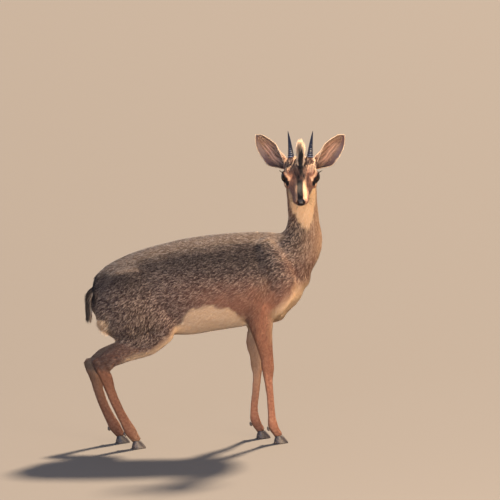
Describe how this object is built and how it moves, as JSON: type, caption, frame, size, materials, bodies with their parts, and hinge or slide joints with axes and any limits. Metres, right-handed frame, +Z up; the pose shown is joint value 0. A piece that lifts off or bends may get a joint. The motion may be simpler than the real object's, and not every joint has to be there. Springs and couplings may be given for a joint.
{
  "type": "dik-dik antelope",
  "caption": "Life-size standing dwarf antelope: slender legs on cloven hooves, short ringed horns, crown crest, large cupped ears, head turned to its right.",
  "frame": {"origin": "on the floor under the middle of the animal's overall box", "axes": "+X the way the body faces, +Y to the animal's left, +Z up; the head is turned toward -Y"},
  "size_m": [0.5036, 0.1752, 0.5859],
  "materials": {
    "coat_grizzled": "short grizzled grey-brown fur",
    "coat_tan": "short smooth tan fur",
    "coat_face": "very short rufous fur",
    "coat_crest": "long coarse hair with pale tips",
    "coat_tail": "dark hair",
    "ear_skin": "thin pink skin with sparse hair",
    "nose_leather": "moist pebbled nose leather",
    "horn_sheath": "dark keratin with growth rings",
    "hoof_horn": "worn dark keratin",
    "eyeball": "wet dark brown eye"
  },
  "bodies": {
    "root": {"torso": "coat_grizzled", "neck": "coat_grizzled", "head": "coat_face", "nose": "nose_leather", "crest": "coat_crest", "tail": "coat_tail", "ear_left": "ear_skin", "ear_right": "ear_skin", "eye_left": "eyeball", "eye_right": "eyeball", "horn_left": "horn_sheath", "horn_right": "horn_sheath", "fore_right_forearm": "coat_tan", "fore_right_cannon": "coat_tan", "fore_right_foot": "coat_tan", "fore_right_claw_outer": "hoof_horn", "fore_right_claw_inner": "hoof_horn", "fore_right_dewclaw_outer": "hoof_horn", "fore_right_dewclaw_inner": "hoof_horn", "fore_left_forearm": "coat_tan", "fore_left_cannon": "coat_tan", "fore_left_foot": "coat_tan", "fore_left_claw_outer": "hoof_horn", "fore_left_claw_inner": "hoof_horn", "fore_left_dewclaw_outer": "hoof_horn", "fore_left_dewclaw_inner": "hoof_horn", "hind_right_thigh": "coat_grizzled", "hind_right_gaskin": "coat_tan", "hind_right_cannon": "coat_tan", "hind_right_foot": "coat_tan", "hind_right_claw_outer": "hoof_horn", "hind_right_claw_inner": "hoof_horn", "hind_right_dewclaw_outer": "hoof_horn", "hind_right_dewclaw_inner": "hoof_horn", "hind_left_thigh": "coat_grizzled", "hind_left_gaskin": "coat_tan", "hind_left_cannon": "coat_tan", "hind_left_foot": "coat_tan", "hind_left_claw_outer": "hoof_horn", "hind_left_claw_inner": "hoof_horn", "hind_left_dewclaw_outer": "hoof_horn", "hind_left_dewclaw_inner": "hoof_horn"}
  },
  "joints": []
}
